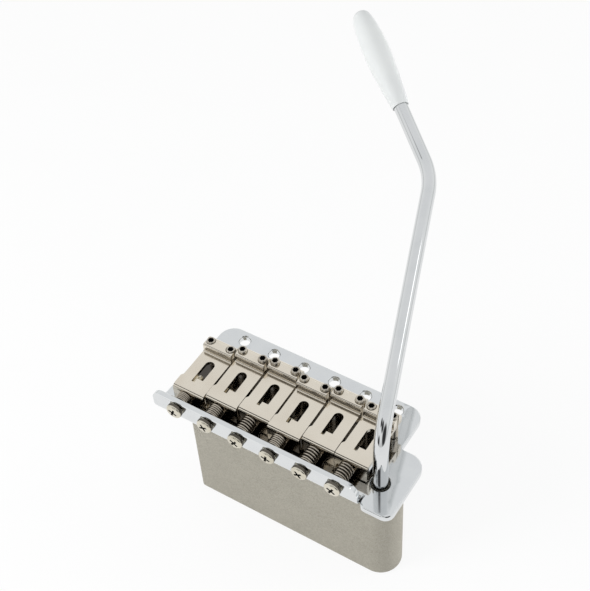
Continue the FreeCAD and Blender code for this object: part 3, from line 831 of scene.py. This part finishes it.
@dataclass
class TremoloArm:
    """The bent arm rod and the moulded tip on its end."""

    finishes: Finishes
    seat: Triple = (36.5, -25.6, -16.0)
    rise: float = 23.4
    radius: float = 2.3
    rod_sides: int = 48
    bend_steps: int = 32
    reach: float = 87.0
    reach_way: tuple[float, float] = (108.7, 15.9)
    reach_bend: float = 12.0
    end_reach: float = 61.3
    end_way: tuple[float, float] = (142.9, 23.4)
    end_bend: float = 20.0
    tip_length: float = 36.0
    tip_radius: float = 4.3
    tip_bore: float = 13.9
    tip_lengths: tuple[float, ...] = (0.0, 0.04, 0.22, 0.42, 0.6, 0.78, 0.92, 0.98, 1.0)
    tip_radii: tuple[float, ...] = (0.62, 0.68, 0.84, 0.97, 1.0, 0.92, 0.74, 0.5, 0.0)
    tip_points: int = 44
    tip_shrink: float = 0.996
    bore_gap: float = 0.06
    bore_heights: tuple[float, float] = (1.2, 0.12)

    @staticmethod
    def _way(turn: float, climb: float) -> Vector:
        """Return the direction with a plan angle and a climb in degrees."""
        flat, up = math.radians(turn), math.radians(climb)
        return Vector((math.cos(flat) * math.cos(up), math.sin(flat) * math.cos(up), math.sin(up)))

    @property
    def corners(self) -> list[Vector]:
        """Find the rod's corners.

        Returns:
            The seat, both corners and the tip's far end.
        """
        seat = Vector(self.seat)
        first = Vector((seat.x, seat.y, self.rise))
        second = first + self._way(*self.reach_way) * self.reach
        return [seat, first, second, second + self._way(*self.end_way) * self.end_reach]

    def build(self) -> list[Piece]:
        """Build the rod and the tip.

        Returns:
            Both pieces, each riding with the arm.
        """
        rod = self._rod()
        self.finishes.dress(rod, self.finishes.rod)
        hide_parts("arm_rod")
        tip = self._tip()
        self.finishes.dress(tip, self.finishes.plastic)
        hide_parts("arm_tip")
        for piece in (rod, tip):
            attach(piece, "arm")
        return [rod, tip]

    def _rod(self) -> Piece:
        """Draw the rod through its straights and bends.

        Returns:
            The rod.
        """
        here, first, second, end = self.corners
        stop = end - (end - second).normalized() * (self.tip_length - self.tip_bore)
        mesh = bmesh.new()
        bmesh.ops.create_circle(mesh, cap_ends=True, radius=self.radius * MM, segments=self.rod_sides)
        bmesh.ops.translate(mesh, verts=mesh.verts, vec=here * MM)
        faces = list(mesh.faces)
        for corner, after, radius in ((first, second, self.reach_bend), (second, stop, self.end_bend)):
            into, out = (corner - here).normalized(), (after - corner).normalized()
            swing = into.angle(out)
            start = corner - into * radius * math.tan(swing / 2.0)
            faces = self._draw(mesh, faces, start - here)
            inward = (out - into * into.dot(out)).normalized()
            made = bmesh.ops.spin(
                mesh, geom=faces, cent=(start + inward * radius) * MM, axis=into.cross(out).normalized(),
                angle=swing, steps=self.bend_steps, dvec=(0.0, 0.0, 0.0),
            )
            faces = [item for item in made["geom_last"] if isinstance(item, Face)]
            here = corner + out * radius * math.tan(swing / 2.0)
        self._draw(mesh, faces, stop - here)
        bmesh.ops.remove_doubles(mesh, verts=mesh.verts, dist=WELD)
        return finish_mesh("arm", mesh)

    @staticmethod
    def _draw(mesh: Mesh, faces: list[Face], run: Vector) -> list[Face]:
        """Push an end face along a straight.

        Args:
            mesh: The rod so far.
            faces: Its end face.
            run: The straight, in millimetres.

        Returns:
            The new end face.
        """
        made = bmesh.ops.extrude_discrete_faces(mesh, faces=faces)
        bmesh.ops.translate(mesh, verts=list({v for f in made["faces"] for v in f.verts}), vec=run * MM)
        return made["faces"]

    def _tip(self) -> Piece:
        """Turn the tip from its outline and set it on the rod.

        Returns:
            The tip.
        """
        mesh = bmesh.new()
        outline = [(self.radius + self.bore_gap, height) for height in self.bore_heights]
        outline += [self._tip_point(step / self.tip_points) for step in range(self.tip_points + 1)]
        spin_line(mesh, outline)
        bmesh.ops.remove_doubles(mesh, verts=mesh.verts, dist=WELD)
        _, _, second, end = self.corners
        last = (end - second).normalized()
        turn = Vector((0.0, 0.0, 1.0)).rotation_difference(last).to_matrix().to_4x4()
        place = Matrix.Translation((end - last * self.tip_length) * MM) @ turn
        bmesh.ops.transform(mesh, verts=mesh.verts, matrix=place)
        return finish_mesh("arm_tip_moulding", mesh)

    def _tip_point(self, share: float) -> tuple[float, float]:
        """Find a point of the tip's smooth outline.

        Args:
            share: How far along the outline, from 0 at its base to 1 at its crown.

        Returns:
            The point's distance from the tip's axis and its height.
        """
        spans = len(self.tip_lengths) - 1
        along = share * spans
        span = min(int(along), spans - 1)
        knots = [min(max(span + step, 0), spans) for step in (-1, 0, 1, 2)]
        a, b, c, d = (
            Vector((self.tip_radii[knot] * self.tip_radius, self.tip_lengths[knot] * self.tip_length))
            for knot in knots
        )
        if span == spans - 1:
            d = Vector((-b.x, b.y))
        part = along - span
        smooth = 0.5 * (2.0 * b + (c - a) * part + (2.0 * a - 5.0 * b + 4.0 * c - d) * part ** 2
                        + (3.0 * (b - c) + d - a) * part ** 3)
        return max(smooth.x, 0.0), min(smooth.y, self.tip_length) * self.tip_shrink


@dataclass
class HeightScrews:
    """The set screws with hexagon sockets that carry the saddles."""

    finishes: Finishes
    row: SaddleRow = SaddleRow()
    thread: Thread = Thread(radius=1.5, depth=0.17, steps=20)
    plate_top: float = 2.0
    line: float = 18.4
    spacing: float = 7.4
    outer_length: float = 10.4
    inner_length: float = 11.6
    foot_gap: float = 0.3
    chamfer: float = 0.3
    chamfer_share: float = 0.8
    collar_length: float = 1.5
    collar_inset: float = 0.04
    flats: float = 1.6
    flare: float = 1.1
    flare_depth: float = 0.12
    socket_depth: float = 2.0
    sides: int = 24
    smooth_angle: float = 50.0

    def build(self) -> list[Piece]:
        """Build both set screws of every saddle."""
        return [self._screw(index, side) for index in range(STRING_COUNT) for side in Side]

    def _screw(self, index: int, side: Side) -> Piece:
        """Build one set screw in its place.

        Args:
            index: The saddle's number, from 0 at the bass side.
            side: The screw's side of the saddle.

        Returns:
            The screw.
        """
        long = self.outer_length if index in (0, STRING_COUNT - 1) else self.inner_length
        mesh = bmesh.new()
        self._shank(mesh, long)
        self._socket_end(mesh, long)
        tilt = math.radians(self.row.tilts[index])
        lever = self.row.half_lip + self.row.spring_lengths[index] + self.line
        rise = self.foot_gap + self.thread.radius * math.sin(tilt)
        drop = (rise - (self.row.axis_height - self.plate_top) - lever * math.sin(tilt)) / math.cos(tilt)
        local = Vector((side.value * self.spacing / 2.0, lever, drop))
        bmesh.ops.transform(
            mesh, verts=mesh.verts, matrix=self.row.place(index) @ Matrix.Translation(local * MM)
        )
        name = side.name.lower()
        screw = finish_mesh(f"set_screw_{index + 1}_{name}", mesh, self.smooth_angle)
        self.finishes.dress(screw, self.finishes.stud, self.finishes.socket)
        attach(screw, f"height_screws_{index + 1}")
        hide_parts(f"height_screw_{index + 1}_{name}")
        return screw

    def _shank(self, mesh: Mesh, long: float) -> None:
        """Wind the thread and close the foot.

        Args:
            mesh: The empty screw.
            long: The screw's length, in millimetres.
        """
        self.thread.wind(mesh, self.chamfer, long - 2.0 * self.chamfer)
        root = self.thread.root
        bmesh.ops.create_cone(
            mesh, cap_ends=True, segments=self.sides, radius1=(root - self.chamfer) * MM, radius2=root * MM,
            depth=2.0 * self.chamfer * MM, matrix=Matrix.Translation((0.0, 0.0, self.chamfer * MM)),
        )

    def _socket_end(self, mesh: Mesh, long: float) -> None:
        """Add the chamfered end with its hexagon socket.

        Args:
            mesh: The screw so far.
            long: The screw's length, in millimetres.
        """
        collar = self.thread.radius - self.collar_inset
        edge = self.thread.radius - self.chamfer * self.chamfer_share
        corner = self.flats / math.sqrt(3.0)
        rounds = ((collar, long - self.collar_length), (collar, long - self.chamfer), (edge, long))
        hexagons = (
            (corner * self.flare, long), (corner, long - self.flare_depth), (corner, long - self.socket_depth)
        )
        foot, shoulder, rim = (self._ring(mesh, *size, self.sides) for size in rounds)
        mouth, throat, floor = (self._ring(mesh, *size, 6) for size in hexagons)
        for pair in (foot + shoulder, shoulder + rim):
            bmesh.ops.bridge_loops(mesh, edges=pair)
        fill_between(mesh, rim + mouth)
        # The socket's walls and floor take the near-black finish: painted shade.
        dark = [bmesh.ops.bridge_loops(mesh, edges=pair) for pair in (mouth + throat, throat + floor)]
        dark.append(bmesh.ops.contextual_create(mesh, geom=floor))
        for face in (face for made in dark for face in made["faces"]):
            face.material_index = Skin.SOCKET

    @staticmethod
    def _ring(mesh: Mesh, radius: float, height: float, sides: int) -> list[Edge]:
        """Return a new loop of edges about the Z axis."""
        made = bmesh.ops.create_circle(
            mesh, cap_ends=False, radius=radius * MM, segments=sides,
            matrix=Matrix.Translation((0.0, 0.0, height * MM)),
        )
        return list(dict.fromkeys(edge for vert in made["verts"] for edge in vert.link_edges))


@dataclass
class IntonationScrews:
    """The pan-headed screws that pull the saddles back against their springs."""

    finishes: Finishes
    row: SaddleRow = SaddleRow()
    thread: Thread = Thread(radius=1.48, depth=0.22, steps=24)
    seat: float = -1.3
    end: float = 12.7
    neck: float = 0.5
    point: float = 0.4
    point_sides: int = 24
    head: tuple[tuple[float, float], ...] = (
        (2.50, 0.0), (2.64, 0.1), (2.65, 0.25), (2.65, 1.05), (2.61, 1.25), (2.5, 1.42), (2.32, 1.56),
        (2.08, 1.67), (1.85, 1.74), (1.7, 1.77),
    )
    painted_shade_past: float = 1.6
    painted_shade_heights: tuple[float, float] = (0.05, 1.1)
    recess_reach: float = 1.5
    recess_half: float = 0.36
    recess_depth: float = 0.95
    recess_taper: float = 0.6
    turned: tuple[float, ...] = (22.0, 64.0, 38.0, 12.0, 57.0, 30.0)
    smooth_angle: float = 50.0

    @property
    def top(self) -> float:
        """Return the height of the head's face, which looks down the Z axis."""
        return self.seat - self.head[-1][1]

    def build(self) -> list[Piece]:
        """Build every screw."""
        return [self._screw(index) for index in range(STRING_COUNT)]

    def _screw(self, index: int) -> Piece:
        """Build one screw along Z and lay it in its place.

        Args:
            index: The saddle's number, from 0 at the bass side.

        Returns:
            The screw.
        """
        mesh = bmesh.new()
        self._shank(mesh, self.row.spring_lengths[index] + self.painted_shade_past)
        self._recess(mesh, self._head(mesh))
        lay = Matrix.Rotation(-math.pi / 2.0, 4, "X")
        spun = Matrix.Rotation(math.radians(self.turned[index]), 4, "Z")
        place = self.row.place(index, self.row.screw_offset)
        bmesh.ops.transform(mesh, verts=mesh.verts, matrix=place @ lay @ spun)
        screw = finish_mesh(f"lip_screw_{index + 1}", mesh, self.smooth_angle)
        self.finishes.dress(screw, self.finishes.screw, self.finishes.socket, self.finishes.rim)
        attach(screw, f"screw_{index + 1}")
        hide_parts(f"intonation_screw_{index + 1}")
        return screw

    def _shank(self, mesh: Mesh, painted_shade_end: float) -> None:
        """Wind the thread and close its point.

        Args:
            mesh: The empty screw.
            painted_shade_end: Where the painted shade on the thread, inside the spring, ends.
        """
        start = self.seat + self.neck
        last = self.thread.wind(mesh, start, self.end - self.point - start)
        # Painted shade: the thread inside the spring, and a little past it, takes the dark third finish.
        for face in mesh.faces:
            face.material_index = Skin.DULL if face.calc_center_median().z < painted_shade_end * MM else Skin.BODY
        root = self.thread.root
        bmesh.ops.create_cone(
            mesh, cap_ends=True, segments=self.point_sides,
            radius1=root * MM, radius2=(root - self.point) * MM, depth=(self.end - last) * MM,
            matrix=Matrix.Translation((0.0, 0.0, (self.end + last) / 2.0 * MM)),
        )

    def _head(self, mesh: Mesh) -> list[Edge]:
        """Turn the neck and the head.

        Args:
            mesh: The screw so far.

        Returns:
            The open loop of edges on the head's face.
        """
        root = self.thread.root
        outline = [(root, -self.neck - self.thread.pitch), (root, 0.0), *self.head]
        before = set(mesh.faces)
        spin_line(mesh, [(out, self.seat - up) for out, up in outline])
        low, high = ((self.seat - height) * MM for height in self.painted_shade_heights)
        # Painted shade: the head's side wall takes the dark third finish.
        for face in set(mesh.faces) - before:
            middle = face.calc_center_median()
            if high < middle.z < low and middle.xy.length > self.thread.radius * MM:
                face.material_index = Skin.DULL
        level = self.top * MM
        return [edge for edge in mesh.edges if all(abs(vert.co.z - level) < WELD for vert in edge.verts)]

    def _recess(self, mesh: Mesh, loop: list[Edge]) -> None:
        """Close the head's face around a tapered cross recess.

        Args:
            mesh: The screw so far.
            loop: The open loop of edges on the head's face.
        """
        reach, half = self.recess_reach, self.recess_half
        arm = [Vector(point) for point in ((half, half), (half, reach), (-half, reach))]
        quarters = [Matrix.Rotation(quarter * math.pi / 2.0, 2) for quarter in range(4)]
        cross = [turn @ point for turn in quarters for point in arm]
        loops = []
        for scale, height in ((1.0, self.top), (self.recess_taper, self.top + self.recess_depth)):
            ring = [mesh.verts.new((x * scale * MM, y * scale * MM, height * MM)) for x, y in cross]
            loops.append([mesh.edges.new(pair) for pair in zip(ring, ring[1:] + ring[:1])])
        fill_between(mesh, loop + loops[0], up=-1.0)
        # The recess's walls and floor take the near-black finish: painted shade.
        walls = bmesh.ops.bridge_loops(mesh, edges=loops[0] + loops[1])
        floor = bmesh.ops.contextual_create(mesh, geom=loops[1])
        for face in walls["faces"] + floor["faces"]:
            face.material_index = Skin.SOCKET


@dataclass
class Frame:
    """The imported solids, dressed with the same finishes as the new pieces."""

    nodes: dict[str, Piece]
    finishes: Finishes

    def dress(self) -> None:
        """Give every solid its finish."""
        kit = self.finishes
        kinds = {
            "bridge_plate": kit.chrome,
            "arm_rod": kit.chrome,
            "arm_tip": kit.plastic,
            "tremolo_block": kit.cast,
            "block_screws": kit.stud,
            "saddle": kit.nickel,
            "intonation_screw": kit.screw,
            "height_screw": kit.stud,
            "intonation_spring": kit.spring,
        }
        for name, node in self.nodes.items():
            finish = next(kind for start, kind in kinds.items() if name.startswith(start))
            kit.dress(node, finish)
            LOG.info("dressed %s with %s", name, finish.name)


@dataclass(frozen=True)
class Lamp:
    """A soft square lamp, with its sizes in metres and its power in watts."""

    name: str
    place: Triple
    aim: Triple
    size: float
    power: float
    mirrored: bool = False

    def hang(self) -> None:
        """Hang the lamp and turn it to its aim."""
        light = bpy.data.lights.new(self.name, "AREA")
        light.shape = "SQUARE"
        light.size = self.size
        light.energy = self.power
        lamp = bpy.data.objects.new(self.name, light)
        lamp.visible_glossy = self.mirrored
        bpy.context.scene.collection.objects.link(lamp)
        facing = (Vector(self.aim) - Vector(self.place)).to_track_quat("-Z", "Y").to_matrix().to_4x4()
        lamp.matrix_world = Matrix.Translation(self.place) @ facing


@dataclass(frozen=True)
class TentGap:
    """A dark gap in the tent, with the angles in radians at which it is full and gone."""

    way: Triple
    inner: float
    outer: float


@dataclass
class Studio:
    """The camera, the floor, the lamps and the tent around them."""

    eye: Triple = (137.7, -206.0, 312.7)
    azimuth: float = 35.088
    elevation: float = 47.788
    roll: float = -4.189
    focal_share: float = 1263.27 / 590.0
    sensor: float = 36.0
    clip: tuple[float, float] = (0.01, 20.0)
    floor_height: float = -38.2
    floor_size: float = 3.0
    floor_glow: float = 0.88
    floor_tones: tuple[Triple, Triple] = ((0.92, 0.92, 0.92), (0.9, 0.9, 0.9))
    floor_cloud: float = 30.0
    floor_range: tuple[float, float] = (0.3, 0.7)
    white: Triple = (1.0, 1.0, 1.0)
    tent_foot: Triple = (0.68, 0.69, 0.69)
    tent_side: Triple = (0.92, 0.93, 0.93)
    tent_top: Triple = (0.85, 0.86, 0.87)
    tent_levels: Triple = (0.0, 0.35, 0.9)
    tent_dark: Triple = (0.04, 0.04, 0.042)
    tent_glow: Triple = (0.66, 0.67, 0.67)
    tent_gaps: tuple[TentGap, ...] = (
        TentGap((-0.270, -0.955, 0.120), 0.12, 0.27),
        TentGap((0.100, -0.660, 0.745), 0.14, 0.32),
        TentGap((-0.330, -0.600, 0.730), 0.12, 0.215),
        TentGap((0.737, -0.563, 0.374), 0.30, 0.55),
    )
    lamps: tuple[Lamp, ...] = (
        Lamp("key_lamp", (-0.30, -0.42, 0.30), (0.0, -0.03, -0.01), 0.25, 1.7),
        Lamp("side_lamp", (0.45, 0.31, 0.0), (0.03, -0.02, -0.02), 0.20, 1.9),
        Lamp("strip_lamp", (0.67, 0.52, 0.85), (0.0, 0.0, 0.0), 0.16, 0.1, mirrored=True),
    )

    def camera(self) -> None:
        """Stand the camera where the photograph was taken."""
        turn, rise, roll = (math.radians(a) for a in (self.azimuth, self.elevation, self.roll))
        ahead = Vector((-math.sin(turn) * math.cos(rise), math.cos(turn) * math.cos(rise), -math.sin(rise)))
        right = Vector((math.cos(turn), math.sin(turn), 0.0))
        over = right.cross(ahead)
        across = right * math.cos(roll) + over * math.sin(roll)
        upward = over * math.cos(roll) - right * math.sin(roll)
        lens = bpy.data.cameras.new("photo_camera")
        lens.sensor_width = self.sensor
        lens.lens = self.sensor * self.focal_share
        lens.sensor_fit = "HORIZONTAL"
        lens.clip_start, lens.clip_end = self.clip
        camera = bpy.data.objects.new("photo_camera", lens)
        bpy.context.scene.collection.objects.link(camera)
        basis = Matrix((across, upward, -ahead)).transposed()
        camera.matrix_world = Matrix.Translation(Vector(self.eye) * MM) @ basis.to_4x4()
        bpy.context.scene.camera = camera

    def floor(self) -> None:
        """Lay the pale floor, which glows for the camera and keeps the object's shadow."""
        mesh = bmesh.new()
        bmesh.ops.create_grid(mesh, x_segments=1, y_segments=1, size=self.floor_size)
        bmesh.ops.translate(mesh, verts=mesh.verts, vec=(0.0, 0.0, self.floor_height * MM))
        floor = finish_mesh("studio_floor", mesh)
        material = bpy.data.materials.new("pale_floor")
        graph = Graph(material)
        cloud = graph.noise(graph.place(), self.floor_cloud)
        paper = graph.mix(cloud.ramp(*self.floor_range), *self.floor_tones)
        diffuse = graph.add("ShaderNodeBsdfDiffuse", inputs={"Color": paper})
        glow = graph.add("ShaderNodeEmission", inputs={"Color": (*self.white, 1.0), "Strength": 1.0})
        seen, gloss, through = (
            graph.add("ShaderNodeLightPath", output=f"Is {ray} Ray")
            for ray in ("Camera", "Glossy", "Transmission")
        )
        share = (seen + gloss + through).ramp(0.0, 1.0, 0.0, self.floor_glow)
        mixed = graph.add("ShaderNodeMixShader", inputs={0: share, 1: diffuse, 2: glow})
        graph.add("ShaderNodeOutputMaterial", inputs={"Surface": mixed})
        floor.data.materials.append(material)

    def world(self) -> None:
        """Surround the object with a pale tent whose gaps are dark in reflections."""
        world = bpy.data.worlds.new("studio_room")
        bpy.context.scene.world = world
        graph = Graph(world)
        way = graph.add("ShaderNodeTexCoord", output="Generated")
        across, depth, height = (graph.along(way, axis) for axis in Axis)
        low, middle, high = self.tent_levels
        room = graph.mix(height.ramp(low, middle), self.tent_foot, self.tent_side)
        room = graph.mix(height.ramp(middle, high), room, self.tent_top)
        for gap in self.tent_gaps:
            x, y, z = gap.way
            facing = across * x + depth * y + height * z
            room = graph.mix(facing.ramp(math.cos(gap.outer), math.cos(gap.inner)), room, self.tent_dark)
        scattered = graph.add("ShaderNodeLightPath", output="Is Diffuse Ray")
        lit = graph.mix(scattered, room, self.tent_glow)
        seen = graph.add("ShaderNodeLightPath", output="Is Camera Ray")
        colour = graph.mix(seen, lit, self.white)
        shell = graph.add("ShaderNodeBackground", inputs={"Color": colour, "Strength": 1.0})
        graph.add("ShaderNodeOutputWorld", inputs={"Surface": shell})

    def build(self) -> None:
        """Build the whole studio."""
        bpy.context.scene.view_settings.view_transform = "Standard"
        self.camera()
        self.floor()
        self.world()
        for lamp in self.lamps:
            lamp.hang()


def main() -> None:
    """Build the scene in order and log each built piece's face count."""
    logging.basicConfig(level=logging.INFO, format="%(message)s")
    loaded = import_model()
    finishes = Finishes()
    Studio().build()
    Frame(loaded["nodes"], finishes).dress()
    pieces = [BridgePlate(finishes).build()]
    pieces += TremoloArm(finishes).build()
    pieces += SpringSet(finishes).build()
    pieces += HeightScrews(finishes).build()
    pieces += IntonationScrews(finishes).build()
    for piece in pieces:
        LOG.info("built %s with %d faces", piece.name, len(piece.data.polygons))


if __name__ == "__main__":
    main()
